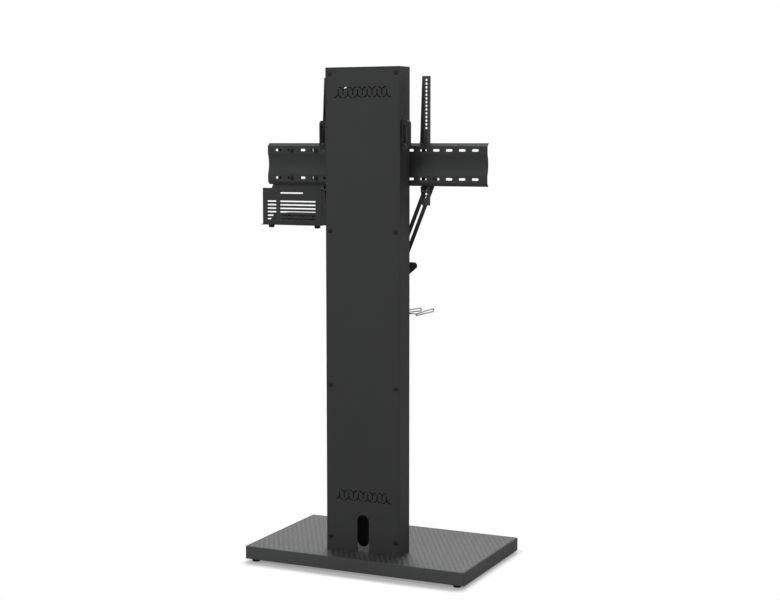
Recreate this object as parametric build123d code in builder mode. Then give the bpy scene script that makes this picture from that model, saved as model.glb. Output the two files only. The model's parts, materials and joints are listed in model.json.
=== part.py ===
import os
from math import atan2, copysign, cos, degrees, radians, sin

from build123d import *

os.makedirs("parts", exist_ok=True)

# All sizes in millimetres. Local origin while modelling: column centre plane x = 0,
# column back face y = 0, floor z = 0. The front of the stand is -y, the top is +z.

# Clearances and fits
SEAT_GAP = 0.3        # around panels that drop into a frame
SLIDE_GAP = 0.08      # each side of a sliding fit
PIVOT_GAP = 0.05      # around a wire turning in its eye
THREAD_GAP = 0.05     # around a screw in its thread
HOLE_GAP = 0.3        # around a screw in a plain hole

# Base
BASE_W = 670.0
BASE_D = 414.0
BASE_T = 36.0
BASE_BACK = 76.0      # base edge behind the column's back face
BASE_WALL = 3.0
BASE_CORNER = 4.0
RIM_W = 5.0
MAT_T = 2.0
FOOT_H = 8.0
FOOT_R = 11.0
FOOT_INSET_X = 26.0
FOOT_INSET_Y = 17.0
BOTTOM_T = 2.5
RIB_W = 40.0
RIB_WALL = 2.5
RIB_FLANGE = 14.0
RIB_X = (-250.0, -80.0, 80.0, 250.0)
RIB_END = 20.0        # rib end inside the base's edge
RIB_SCREW_END = 30.0  # screw inside a rib's end
BOTTOM_SCREW_R = 2.5

# Column
COL_W = 225.0
COL_D = 65.0
COL_H = 1344.0        # above the top of the base, cap included
COL_WALL = 2.5
STRIP_W = 24.0
COVER_T = 2.0
CAP_T = 3.0
CAP_PLUG = 10.0
COVER_SCREW_X = 100.0
COVER_SCREW_LOW = 39.0
COVER_SCREW_PITCH = 429.5
SCREW_R = 2.0
SCREW_HEAD_R = 5.5
SCREW_HEAD_H = 2.4
COVER_HEAD_R = 6.3
COVER_HEAD_H = 3.2
SOCKET_R = 2.6
SOCKET_DEPTH = 1.8
FOOT_PLATE_T = 8.0
BOLT_R = 5.0
BOLT_HEAD_H = 6.4
COL_BOLT_Y = (-18.0, -47.0)
CABLE_HOLE_W = 60.0
CABLE_HOLE_H = 110.0
CABLE_HOLE_Z = 746.0  # above the top of the base
TOP_HOLE_R = 4.5
TOP_HOLE_X = 83.0
TOP_HOLE_Z = 1290.0   # above the top of the base
PANEL_ROUND = 1.5     # front panel's upright edges

# Cable notch and vents in the back cover
NOTCH_W = 36.0
NOTCH_H = 107.0       # above the top of the base
ENTRY_LOW = 17.0      # lower end of the entry plate's hole above the base
ENTRY_W = 72.0
ENTRY_T = 2.5
ENTRY_HEAD = 22.0     # entry plate above the notch
ENTRY_TAB = 6.0       # foot tab ahead of the entry plate
VENT_HEIGHTS = (160.0, 1276.0)
VENT_STEMS = 11
VENT_PITCH = 14.6
VENT_STEM = 15.0
VENT_ARM = 11.5
VENT_LINE = 2.6

# Cable loops on the column's sides
LOOP_W = 23.0
LOOP_H = 80.0
LOOP_D = 15.0
LOOP_BACK = 7.0
LOOP_LOW = 1120.0     # above the top of the base
LOOP_SLOT_W = 12.0
LOOP_SLOT_H = 52.0
LOOP_LEG = 7.0
LOOP_CORNER = 9.0
LOOP_SCREW_DEPTH = 6.0
LOOP_SCREW_EDGE = 7.0  # screw inside the loop's ends

# Height carriage
RAIL_MID = 1079.7     # rail's centre line above the top of the base
CARRIAGE_W = 200.0
CARRIAGE_H = 116.0
CARRIAGE_T = 6.0
PAD_T = 1.9
PAD_W = 30.0
STUD_R = 5.0
STUD_EDGE = 10.0      # stud inside a glide pad's inner edge
STUD_Z = 35.0
CLAMP_EDGE = 20.0     # clamp plate past the studs, sideways
CLAMP_H = 100.0
CLAMP_T = 5.0
TRAVEL_UP = 100.0
TRAVEL_DOWN = 200.0
NUT_R = 9.0
NUT_H = 6.0

# Slotted rail
RAIL_L = 671.0
RAIL_H = 117.0
RAIL_T = 3.0
RAIL_REAR = 73.0      # slotted planes' rear face ahead of the column's back face
RAIL_BULGE = 6.0
WEB_END = 29.0        # hollow web above and below the centre line
RAIL_LIP = 9.0
RAIL_LIP_H = 8.5
SLOT_L = 20.0
SLOT_H = 6.5
SLOT_FIRST = 34.7     # first slots beside the middle one
SLOT_PITCH = 38.0
SLOT_SIDE = 8         # slots each side of the middle one
ROW_Z = 39.0          # slot rows above and below the centre line
RAIL_BOLT_X = 38.0

# Screen arms
ARM_X = 150.0
ARM_W = 23.5
ARM_T = 2.5
ARM_MID = 1149.3      # middle of the hole rows above the top of the base
ARM_RISE = 170.7      # arm above and below the middle of its hole rows
ARM_DROP = 181.3
ARM_FACE = 92.5       # front face ahead of the column's back face
ARM_EDGE = 4.0        # flange depth at the ends
ARM_HOLE_R = 3.25
ARM_HOLE_PITCH = 10.0
ARM_HOLE_FIRST = 30.0
ARM_HOLE_COUNT = 14
HOOK_REAR = 78.0
HOOK_T = 3.0
HOOK_GAP = 0.1
HOOK_BACK = 4.0       # hook's rear face behind the lip's front
HOOK_SHOULDER = (8.0, 5.0)  # chamfer heights above the rail's lip
HOOK_DROP = 4.0       # hook below the lip's top
ARM_SKIRT = 1.0       # arm below the lip's lower edge
ARM_REACH = 85.4      # flange's rear edge beside the rail
LOCK_X = 4.2          # lock screw off the arm's centre line
LOCK_R = 2.5
LOCK_HEAD_R = 4.8
LOCK_Y = 83.5
LOCK_TAB_LOW = 1006.0
LOCK_TRAVEL = 5.0

# Media box
BOX_X0 = 172.0
BOX_X1 = 360.5
BOX_LOW = 905.0
BOX_TOP = 1010.5
BOX_T = 2.0
BOX_REAR = 86.0
BOX_DEPTH = 164.0
NECK_X0 = 163.5
NECK_X1 = 309.5
NECK_TOP = 1130.0
NECK_FLARE = ((331.0, 1010.5), (326.5, 1021.0), (309.5, 1034.0))
NECK_SLOT_L = 24.0
NECK_SLOT_H = 8.5
LOUVRE_LOW = 922.1
LOUVRE_PITCH = 10.1
LOUVRE_ROWS = 6
LOUVRE_H = 3.9
LOUVRES = ((331.0, 29.0), (247.0, 115.0))
TOP_LOUVRE = (266.6, 74.0)
TRAY_LIP = 2.5        # tray floor past the back plate, sideways
TRAY_REAR = 6.0       # tray floor past the back plate, rearward
TRAY_EDGE_H = 28.5
SIDE_WALL_DROP = 0.5  # side wall's top below the back plate's
SIDE_LIP_START = (32.0, 70.0)  # slanted start of the low side lip, at its foot and top
SIDE_SLOTS = 5
SIDE_SLOT_FIRST = 33.0  # ahead of the back plate
SIDE_SLOT_PITCH = 28.0
SIDE_SLOT_Z = 47.0    # slot middle above the tray's underside
SIDE_SLOT_L = 44.0
SIDE_SLOT_W = 9.0
TRAY_FLANGE_D = 12.0  # back plate's foot flange
TRAY_FLANGE_END = 4.0
BOX_BOLT_X = (181.4, 259.0)
BOX_BOLT_R = 3.0
BOX_BOLT_HEAD_R = 6.0
BOX_BOLT_HEAD_H = 5.0
WASHER_R = 7.0
WASHER_T = 1.5
NUT_T = 4.0
THIN_NUT_T = 3.0
BUMPER_R = 8.5
BUMPER_H = 8.0
BUMPER_INSET_X = (15.0, 25.0)
BUMPER_INSET_Y = (4.0, 20.0)
TRAY_SCREW_X = (214.0, 309.0)
TRAY_SCREW_HEAD_R = 4.0
TRAY_SCREW_HEAD_H = 2.0

# Under-screen hanger
BAR_REAR = 94.0       # bars' rear face ahead of the column's back face
BAR_T = 3.0
BAR_W = 28.0
BAR_SLOT_W = 6.5
BAR_TOP = (170.0, 1052.0)
BAR_LOW = (29.5, 705.0)
BAR_SLOT_Z = (735.0, 1024.0)
HANGER_T = 3.0
HANGER_BOLT_R = 3.0
HANGER_HEAD_R = 5.8
HANGER_HEAD_H = 3.5
BRACKET_X0 = 164.0
BRACKET_X1 = 188.5
BRACKET_LIP = 179.0
BRACKET_H = 19.5
BRACKET_ROOM = 1.0    # around a bracket's leg where it passes the neck
BRACKET_BOLT_X = 173.5
PLATE_W = 239.0
PLATE_TOP = 810.0
PLATE_SHOULDER = 796.0
PLATE_NECK = 45.0
PLATE_NECK_Z = 733.0
PLATE_BOLT_Z = (718.0, 795.0)
LEDGE_D = 40.0

# Folding wire rack
WIRE_R = 2.0
WIRE_Z = 666.0
WIRE_AXIS = 106.0
WIRE_WELD = 4.6       # lower wire of each prong below the upper one, at its root
WIRE_DROP = 8.5       # and at its tip
PRONG_RISE = 3.0      # upper wire's rise from root to tip
BEND_FLAT = 0.2       # half of the straight bit between a prong's two bends
PRONG_END = 226.0
OUTER_PRONG_X = 114.5
INNER_PRONG_X = 36.0
PRONG_ANGLE = 18.6    # outward angle of the inner prongs, in degrees
EYE_X = 14.0
EYE_W = 8.0
EYE_R = 5.0

# Heights and offsets worked out from the sizes above
DECK_Z = FOOT_H + BASE_T
PANEL_Z = DECK_Z - MAT_T
COL_TOP = DECK_Z + COL_H
BODY_TOP = COL_TOP - CAP_T
BASE_MID_Y = BASE_BACK - BASE_D / 2
RAIL_Z = DECK_Z + RAIL_MID
RAIL_FRONT = RAIL_REAR + RAIL_T
ARM_Z = DECK_Z + ARM_MID
BAR_FRONT = BAR_REAR + BAR_T
PLATE_FRONT = BAR_FRONT + HANGER_T
STUD_X = CARRIAGE_W / 2 - PAD_W - STUD_EDGE
CLAMP_W = 2 * (STUD_X + CLAMP_EDGE)
FOOTPRINT_X = (BOX_X1 + TRAY_LIP - RAIL_L / 2) / 2
PLACE = Location((-FOOTPRINT_X, -BASE_MID_Y, 0))


def save(builder, label):
    """Move a finished piece into the row frame, name it and write its STEP."""
    builder.part.label = label
    placed = builder.part.moved(PLACE)
    placed.label = label
    export_step(placed, f"parts/{label}.step")


def block(x, y, z, mode=Mode.ADD):
    """Box between pairs of limits along each axis."""
    middle = ((x[0] + x[1]) / 2, (y[0] + y[1]) / 2, (z[0] + z[1]) / 2)
    with Locations(middle):
        Box(x[1] - x[0], y[1] - y[0], z[1] - z[0], mode=mode)


def rod(x, z, y_rear, y_front, radius, mode=Mode.ADD):
    """Round bar along the depth, from y_rear forward to y_front."""
    with Locations((x, (y_rear + y_front) / 2, z)):
        Cylinder(radius, y_rear - y_front, rotation=(90, 0, 0), mode=mode)


def post(x, y, z0, z1, radius, mode=Mode.ADD):
    """Round bar standing between two heights."""
    with Locations((x, y, (z0 + z1) / 2)):
        Cylinder(radius, z1 - z0, mode=mode)


def hexagon(x, z, y_rear, y_front, radius):
    """Hexagonal head or nut along the depth."""
    with BuildSketch(Plane.XZ.offset(-y_rear)) as outline:
        with Locations((x, z)):
            RegularPolygon(radius, 6)
    extrude(outline.sketch, amount=y_rear - y_front)


def slots_through(points, length, height, y_rear, y_front):
    """Row of obround holes through a plate that stands across the depth."""
    with BuildSketch(Plane.XZ.offset(-y_rear)) as outline:
        with Locations(points):
            SlotOverall(length, height)
    extrude(outline.sketch, amount=y_rear - y_front, mode=Mode.SUBTRACT)


def plate(points, y_rear, y_front):
    """Flat plate across the depth, cut to an outline of x and z points."""
    with BuildSketch(Plane.XZ.offset(-y_rear)) as outline:
        with BuildLine():
            Polyline(*points, close=True)
        make_face()
    extrude(outline.sketch, amount=y_rear - y_front)


def profile(points, x0, x1):
    """Outline of y and z points run along the width from x0 to x1."""
    with BuildSketch(Plane.YZ.offset(x0)) as outline:
        with BuildLine():
            Polyline(*points, close=True)
        make_face()
    extrude(outline.sketch, amount=x1 - x0)


# Base shell
with BuildPart() as base_shell:
    with BuildSketch(Plane.XY.offset(FOOT_H)):
        with Locations((0, BASE_MID_Y)):
            RectangleRounded(BASE_W, BASE_D, BASE_CORNER)
    extrude(amount=BASE_T)
    chamfer(base_shell.faces().sort_by(Axis.Z)[-1].edges(), 0.8)
    with BuildSketch(Plane.XY.offset(PANEL_Z)):
        with Locations((0, BASE_MID_Y)):
            RectangleRounded(BASE_W - 2 * RIM_W, BASE_D - 2 * RIM_W, BASE_CORNER)
    extrude(amount=MAT_T, mode=Mode.SUBTRACT)
    with BuildSketch(Plane.XY.offset(FOOT_H)):
        with Locations((0, BASE_MID_Y)):
            Rectangle(BASE_W - 2 * BASE_WALL, BASE_D - 2 * BASE_WALL)
    extrude(amount=PANEL_Z - BASE_WALL - FOOT_H, mode=Mode.SUBTRACT)
    for bolt_x in (RIB_X[1], RIB_X[2]):
        for bolt_y in COL_BOLT_Y:
            post(bolt_x, bolt_y, FOOT_H, COL_TOP, BOLT_R + HOLE_GAP, Mode.SUBTRACT)
save(base_shell, "base_shell")

# Woven mat let into the top of the base, cut out round the column
with BuildPart() as base_mat:
    with BuildSketch(Plane.XY.offset(PANEL_Z)):
        with Locations((0, BASE_MID_Y)):
            RectangleRounded(
                BASE_W - 2 * RIM_W - 2 * SEAT_GAP,
                BASE_D - 2 * RIM_W - 2 * SEAT_GAP,
                BASE_CORNER - SEAT_GAP,
            )
        with Locations((0, -COL_D / 2)):
            Rectangle(COL_W + 2 * SEAT_GAP, COL_D + 2 * SEAT_GAP, mode=Mode.SUBTRACT)
    extrude(amount=MAT_T)
save(base_mat, "base_mat")

# Stiffening ribs under the top panel
RIB_TOP = PANEL_Z - BASE_WALL
RIB_LOW = FOOT_H + BOTTOM_T
RIB_Y = (BASE_BACK - BASE_D + RIB_END, BASE_BACK - RIB_END)
BOTTOM_SCREWS = [
    (rib_x + side * (RIB_W / 2 + RIB_FLANGE / 2), y)
    for rib_x in (RIB_X[0], RIB_X[3])
    for side in (-1, 1)
    for y in (RIB_Y[0] + RIB_SCREW_END, RIB_Y[1] - RIB_SCREW_END)
]
with BuildPart() as base_ribs:
    for rib_x in RIB_X:
        half = RIB_W / 2
        wing = half + RIB_FLANGE
        block((rib_x - half, rib_x + half), RIB_Y, (RIB_LOW, RIB_TOP))
        block((rib_x - wing, rib_x + wing), RIB_Y, (RIB_LOW, RIB_LOW + RIB_WALL))
        block(
            (rib_x - half + RIB_WALL, rib_x + half - RIB_WALL),
            RIB_Y,
            (RIB_LOW, RIB_TOP - RIB_WALL),
            Mode.SUBTRACT,
        )
    for bolt_x in (RIB_X[1], RIB_X[2]):
        for bolt_y in COL_BOLT_Y:
            post(bolt_x, bolt_y, RIB_LOW, RIB_TOP, BOLT_R + HOLE_GAP, Mode.SUBTRACT)
    for spot in BOTTOM_SCREWS:
        post(*spot, RIB_LOW, RIB_LOW + RIB_WALL, BOTTOM_SCREW_R + THREAD_GAP, Mode.SUBTRACT)
save(base_ribs, "base_ribs")

# Plate that closes the underside
FOOT_X = BASE_W / 2 - FOOT_INSET_X
FOOT_Y = (BASE_BACK - FOOT_INSET_Y, BASE_BACK - BASE_D + FOOT_INSET_Y)
FOOT_SPOTS = [(side * FOOT_X, y) for side in (-1, 1) for y in FOOT_Y]
with BuildPart() as base_bottom:
    with BuildSketch(Plane.XY.offset(FOOT_H)):
        with Locations((0, BASE_MID_Y)):
            Rectangle(
                BASE_W - 2 * BASE_WALL - 2 * SEAT_GAP,
                BASE_D - 2 * BASE_WALL - 2 * SEAT_GAP,
            )
    extrude(amount=BOTTOM_T)
    for spot in FOOT_SPOTS:
        post(*spot, FOOT_H, FOOT_H + BOTTOM_T, SCREW_R + THREAD_GAP, Mode.SUBTRACT)
    for spot in BOTTOM_SCREWS:
        post(*spot, FOOT_H, FOOT_H + BOTTOM_T, BOTTOM_SCREW_R + HOLE_GAP, Mode.SUBTRACT)
save(base_bottom, "base_bottom_plate")

with BuildPart() as bottom_screws:
    for spot in BOTTOM_SCREWS:
        post(*spot, FOOT_H, RIB_LOW + RIB_WALL + 4, BOTTOM_SCREW_R)
        post(*spot, FOOT_H - SCREW_HEAD_H, FOOT_H, SCREW_HEAD_R)
save(bottom_screws, "base_bottom_screws")

# Rubber feet, each held by a screw from below
with BuildPart() as rubber_feet:
    for x, y in FOOT_SPOTS:
        post(x, y, 0, FOOT_H, FOOT_R)
    fillet(rubber_feet.faces().filter_by(Axis.Z).group_by(Axis.Z)[0].edges(), 1.2)
    for x, y in FOOT_SPOTS:
        post(x, y, 0, FOOT_H, SCREW_R + HOLE_GAP, Mode.SUBTRACT)
        post(x, y, 0, FOOT_H - 3, SCREW_HEAD_R + HOLE_GAP, Mode.SUBTRACT)
save(rubber_feet, "rubber_feet")

with BuildPart() as foot_screws:
    for x, y in FOOT_SPOTS:
        post(x, y, FOOT_H - 3, FOOT_H + BOTTOM_T + 4, SCREW_R)
        post(x, y, FOOT_H - 3 - SCREW_HEAD_H, FOOT_H - 3, SCREW_HEAD_R)
save(foot_screws, "foot_screws")

# Column: front panel with the height tracks and the cable outlet
HALF = COL_W / 2
INNER = HALF - COL_WALL
INNER_FRONT = -COL_D + COL_WALL
SIDE_LOOP_Y = -(LOOP_BACK + LOOP_D / 2)
LOOP_MID = DECK_Z + LOOP_LOW + LOOP_H / 2
LOOP_SCREW_Z = [LOOP_MID + side * (LOOP_H / 2 - LOOP_SCREW_EDGE) for side in (-1, 1)]
COVER_SCREW_SPAN = BODY_TOP - DECK_Z - COVER_SCREW_LOW - COVER_HEAD_R
COVER_ROWS = [
    DECK_Z + COVER_SCREW_LOW + row * COVER_SCREW_PITCH
    for row in range(1 + int(COVER_SCREW_SPAN // COVER_SCREW_PITCH))
]
COVER_SPOTS = [(side * COVER_SCREW_X, z) for side in (-1, 1) for z in COVER_ROWS]
TRACK_LOW = RAIL_Z - STUD_Z - TRAVEL_DOWN
TRACK_HIGH = RAIL_Z + STUD_Z + TRAVEL_UP
TRACK_W = 2 * (STUD_R + SLIDE_GAP)
TRACK_L = TRACK_HIGH - TRACK_LOW + TRACK_W + 4
with BuildPart() as front_panel:
    block((-HALF, HALF), (-COL_D, INNER_FRONT), (PANEL_Z, BODY_TOP))
    fillet(front_panel.edges().filter_by(Axis.Z).group_by(Axis.Y)[0], PANEL_ROUND)
    with BuildSketch(Plane.XZ.offset(-INNER_FRONT)):
        with Locations((-STUD_X, (TRACK_LOW + TRACK_HIGH) / 2),
                       (STUD_X, (TRACK_LOW + TRACK_HIGH) / 2)):
            SlotOverall(TRACK_L, TRACK_W, rotation=90)
        with Locations((0, DECK_Z + CABLE_HOLE_Z)):
            SlotOverall(CABLE_HOLE_H, CABLE_HOLE_W, rotation=90)
    extrude(amount=COL_WALL, mode=Mode.SUBTRACT)
    for side in (-1, 1):
        rod(side * TOP_HOLE_X, DECK_Z + TOP_HOLE_Z, INNER_FRONT, -COL_D,
            TOP_HOLE_R, Mode.SUBTRACT)
save(front_panel, "column_front_panel")


def column_side(side):
    """Flat side wall welded to the front panel."""
    with BuildPart() as wall:
        block(sorted((side * INNER, side * HALF)), (INNER_FRONT, 0), (PANEL_Z, BODY_TOP))
        for z in LOOP_SCREW_Z:
            with Locations((side * (INNER + HALF) / 2, SIDE_LOOP_Y, z)):
                Cylinder(SCREW_R + HOLE_GAP, COL_WALL, rotation=(0, 90, 0),
                         mode=Mode.SUBTRACT)
    return wall


save(column_side(-1), "column_side_left")
save(column_side(1), "column_side_right")

# Strips welded inside the side walls, to which the back cover is screwed
with BuildPart() as cover_strips:
    for side in (-1, 1):
        block(
            sorted((side * (INNER - STRIP_W), side * INNER)),
            (-COVER_T - COL_WALL, -COVER_T),
            (PANEL_Z, BODY_TOP),
        )
    for x, z in COVER_SPOTS:
        rod(x, z, -COVER_T, -COVER_T - COL_WALL, SCREW_R + THREAD_GAP, Mode.SUBTRACT)
save(cover_strips, "column_cover_strips")

# Foot bracket inside the column: bolted floor plate with an upright cable entry plate
ENTRY_REAR = -COVER_T
ENTRY_TOP = DECK_Z + NOTCH_H + ENTRY_HEAD
with BuildPart() as foot_bracket:
    block(
        (-INNER, INNER),
        (INNER_FRONT, -COVER_T - COL_WALL - SEAT_GAP),
        (PANEL_Z, PANEL_Z + FOOT_PLATE_T),
    )
    block((-ENTRY_W / 2, ENTRY_W / 2), (ENTRY_REAR - ENTRY_T - ENTRY_TAB, ENTRY_REAR),
          (PANEL_Z, PANEL_Z + FOOT_PLATE_T))
    block((-ENTRY_W / 2, ENTRY_W / 2), (ENTRY_REAR - ENTRY_T, ENTRY_REAR),
          (PANEL_Z, ENTRY_TOP))
    hole_low = DECK_Z + ENTRY_LOW
    hole_high = DECK_Z + NOTCH_H
    with BuildSketch(Plane.XZ.offset(-ENTRY_REAR)):
        with Locations((0, (hole_low + hole_high) / 2)):
            SlotOverall(hole_high - hole_low, NOTCH_W, rotation=90)
    extrude(amount=ENTRY_T, mode=Mode.SUBTRACT)
    for bolt_x in (RIB_X[1], RIB_X[2]):
        for bolt_y in COL_BOLT_Y:
            post(
                bolt_x, bolt_y, PANEL_Z, PANEL_Z + FOOT_PLATE_T,
                BOLT_R + THREAD_GAP, Mode.SUBTRACT,
            )
save(foot_bracket, "column_foot_bracket")

with BuildPart() as column_bolts:
    for bolt_x in (RIB_X[1], RIB_X[2]):
        for bolt_y in COL_BOLT_Y:
            head_top = RIB_TOP - RIB_WALL
            post(bolt_x, bolt_y, head_top, PANEL_Z + FOOT_PLATE_T + 6, BOLT_R)
            with BuildSketch(Plane.XY.offset(head_top - BOLT_HEAD_H)):
                with Locations((bolt_x, bolt_y)):
                    RegularPolygon(9.8, 6)
            extrude(amount=BOLT_HEAD_H)
save(column_bolts, "column_bolts")

# Cap with a plug that drops inside the column
with BuildPart() as column_cap:
    block((-HALF, HALF), (-COL_D, 0), (BODY_TOP, COL_TOP))
    fillet(column_cap.edges().filter_by(Axis.Z).group_by(Axis.Y)[0], 1.5)
    chamfer(column_cap.faces().sort_by(Axis.Z)[-1].edges(), 0.6)
    plug_x = INNER - SEAT_GAP
    plug_y = (INNER_FRONT + SEAT_GAP, -COVER_T - COL_WALL - SEAT_GAP)
    block((-plug_x, plug_x), plug_y, (BODY_TOP - CAP_PLUG, BODY_TOP))
    block(
        (-plug_x + 2, plug_x - 2),
        (plug_y[0] + 2, plug_y[1] - 2),
        (BODY_TOP - CAP_PLUG, BODY_TOP),
        Mode.SUBTRACT,
    )
save(column_cap, "column_cap")


def vent_lines(centre_z):
    """Alternating upright and inverted forked cuts, in x and z pieces."""
    lines = []
    for index in range(VENT_STEMS):
        x = (index - (VENT_STEMS - 1) / 2) * VENT_PITCH
        up = 1 if index % 2 else -1
        fork_z = centre_z + up * (VENT_STEM / 2 - 2)
        lines.append(((x, centre_z - up * VENT_STEM / 2), (x, fork_z)))
        for side in (-1, 1):
            tip = (x + side * VENT_ARM, fork_z + up * VENT_ARM * 0.72)
            knee = (x + side * VENT_ARM * 0.45, fork_z + up * VENT_ARM * 0.6)
            lines.append(((x, fork_z), knee))
            lines.append((knee, tip))
    return lines


# Back cover with two rows of forked vents and the cable notch
COVER_Z = (PANEL_Z + SEAT_GAP, BODY_TOP - SEAT_GAP)
with BuildPart() as back_cover:
    block((-INNER + SEAT_GAP, INNER - SEAT_GAP), (-COVER_T, 0), COVER_Z)
    notch_round = DECK_Z + NOTCH_H - NOTCH_W / 2
    block((-NOTCH_W / 2, NOTCH_W / 2), (-COVER_T, 0), (COVER_Z[0] - 1, notch_round),
          Mode.SUBTRACT)
    rod(0, notch_round, 0, -COVER_T, NOTCH_W / 2, Mode.SUBTRACT)
    for height in VENT_HEIGHTS:
        with BuildSketch(Plane.XZ):
            for start, end in vent_lines(DECK_Z + height):
                middle = ((start[0] + end[0]) / 2, (start[1] + end[1]) / 2)
                run = Vector(end[0] - start[0], end[1] - start[1])
                turn = degrees(atan2(run.Y, run.X))
                with Locations(Location((*middle, 0), (0, 0, turn))):
                    SlotOverall(run.length + VENT_LINE, VENT_LINE)
        extrude(amount=COVER_T, mode=Mode.SUBTRACT)
    for x, z in COVER_SPOTS:
        rod(x, z, 0, -COVER_T, SCREW_R + HOLE_GAP, Mode.SUBTRACT)
save(back_cover, "back_cover")

with BuildPart() as cover_screws:
    for x, z in COVER_SPOTS:
        rod(x, z, 0, -COVER_T - COL_WALL - 3, SCREW_R)
        rod(x, z, COVER_HEAD_H, 0, COVER_HEAD_R)
    fillet(cover_screws.faces().filter_by(Axis.Y).group_by(Axis.Y)[-1].edges(), 2.2)
    with BuildSketch(Plane.XZ.offset(-COVER_HEAD_H)):
        with Locations([(x, z) for x, z in COVER_SPOTS]):
            RegularPolygon(SOCKET_R, 6)
    extrude(amount=SOCKET_DEPTH, mode=Mode.SUBTRACT)
save(cover_screws, "cover_screws")


def cable_loop(side):
    """Closed loop that stands off one side of the column."""
    out = HALF + LOOP_W
    slot_x = side * (HALF + LOOP_LEG + LOOP_SLOT_W / 2)
    loop_x = sorted((side * HALF, side * out))
    loop_y = (-LOOP_BACK - LOOP_D, -LOOP_BACK)
    with BuildPart() as loop:
        block(loop_x, loop_y, (LOOP_MID - LOOP_H / 2, LOOP_MID + LOOP_H / 2))
        outer = loop.edges().filter_by(Axis.Y).sort_by(Axis.X)
        fillet(outer[-2:] if side > 0 else outer[:2], LOOP_CORNER)
        with BuildSketch(Plane.XZ.offset(LOOP_BACK)):
            with Locations((slot_x, LOOP_MID)):
                SlotOverall(LOOP_SLOT_H, LOOP_SLOT_W, rotation=90)
        extrude(amount=LOOP_D, mode=Mode.SUBTRACT)
        for z in LOOP_SCREW_Z:
            with Locations((side * (HALF + LOOP_SCREW_DEPTH / 2), SIDE_LOOP_Y, z)):
                Cylinder(
                    SCREW_R + THREAD_GAP, LOOP_SCREW_DEPTH,
                    rotation=(0, 90, 0), mode=Mode.SUBTRACT,
                )
    return loop


# Cable loops and their screws, driven from inside the column
save(cable_loop(-1), "cable_loop_left")
save(cable_loop(1), "cable_loop_right")

with BuildPart() as loop_screws:
    for side in (-1, 1):
        for z in LOOP_SCREW_Z:
            tip = HALF + LOOP_SCREW_DEPTH - 0.5
            with Locations((side * (INNER + tip) / 2, SIDE_LOOP_Y, z)):
                Cylinder(SCREW_R, tip - INNER, rotation=(0, 90, 0))
            with Locations((side * (INNER - SCREW_HEAD_H / 2), SIDE_LOOP_Y, z)):
                Cylinder(SCREW_R * 1.9, SCREW_HEAD_H, rotation=(0, 90, 0))
save(loop_screws, "loop_screws")

# Carriage that carries the rail up and down the front of the column
PAD_REAR = -COL_D - SLIDE_GAP
CARRIAGE_FRONT = -RAIL_REAR
CARRIAGE_REAR = CARRIAGE_FRONT + CARRIAGE_T
STUD_SPOTS = [
    (sx * STUD_X, RAIL_Z + sz * STUD_Z) for sx in (-1, 1) for sz in (-1, 1)
]
BOLT_SPOTS = [
    (sx * RAIL_BOLT_X, RAIL_Z + sz * ROW_Z) for sx in (-1, 1) for sz in (-1, 1)
]
with BuildPart() as carriage_plate:
    block(
        (-CARRIAGE_W / 2, CARRIAGE_W / 2),
        (CARRIAGE_FRONT, CARRIAGE_REAR),
        (RAIL_Z - CARRIAGE_H / 2, RAIL_Z + CARRIAGE_H / 2),
    )
    for x, z in STUD_SPOTS:
        rod(x, z, CARRIAGE_REAR, CARRIAGE_FRONT, STUD_R + THREAD_GAP, Mode.SUBTRACT)
    for x, z in BOLT_SPOTS:
        rod(x, z, CARRIAGE_REAR, CARRIAGE_FRONT, BOX_BOLT_R + THREAD_GAP, Mode.SUBTRACT)
save(carriage_plate, "carriage_plate")

with BuildPart() as glide_pads:
    for side in (-1, 1):
        pad_x = sorted((side * (CARRIAGE_W / 2), side * (CARRIAGE_W / 2 - PAD_W)))
        block(
            pad_x,
            (CARRIAGE_REAR, PAD_REAR),
            (RAIL_Z - CARRIAGE_H / 2, RAIL_Z + CARRIAGE_H / 2),
        )
save(glide_pads, "carriage_glide_pads")

CLAMP_REAR = INNER_FRONT + SLIDE_GAP + CLAMP_T
with BuildPart() as clamp_plate:
    block(
        (-CLAMP_W / 2, CLAMP_W / 2),
        (INNER_FRONT + SLIDE_GAP, CLAMP_REAR),
        (RAIL_Z - CLAMP_H / 2, RAIL_Z + CLAMP_H / 2),
    )
    for x, z in STUD_SPOTS:
        rod(x, z, CLAMP_REAR, INNER_FRONT, STUD_R + THREAD_GAP, Mode.SUBTRACT)
save(clamp_plate, "carriage_clamp_plate")

with BuildPart() as clamp_studs:
    for x, z in STUD_SPOTS:
        rod(x, z, CLAMP_REAR, CARRIAGE_FRONT, STUD_R)
        hexagon(x, z, CLAMP_REAR + NUT_H, CLAMP_REAR, NUT_R)
save(clamp_studs, "carriage_studs")

# Slotted rail: two slotted planes, a hollow web between them and slanted lips
PLANE_END = RAIL_H / 2 - RAIL_LIP_H


def rail_face(depth):
    """Outline of the rail's rear or front face, from the top lip to the bottom lip."""
    Polyline(
        (-depth - RAIL_LIP, RAIL_Z + RAIL_H / 2),
        (-depth, RAIL_Z + PLANE_END),
        (-depth, RAIL_Z + WEB_END),
    )
    ThreePointArc(
        (-depth, RAIL_Z + WEB_END),
        (-depth - RAIL_BULGE, RAIL_Z),
        (-depth, RAIL_Z - WEB_END),
    )
    Polyline(
        (-depth, RAIL_Z - WEB_END),
        (-depth, RAIL_Z - PLANE_END),
        (-depth - RAIL_LIP, RAIL_Z - RAIL_H / 2),
    )


def slot_x(index):
    """Middle of the slots a number of places left or right of the middle one."""
    if index == 0:
        return 0.0
    return copysign(SLOT_FIRST + (abs(index) - 1) * SLOT_PITCH, index)


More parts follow.
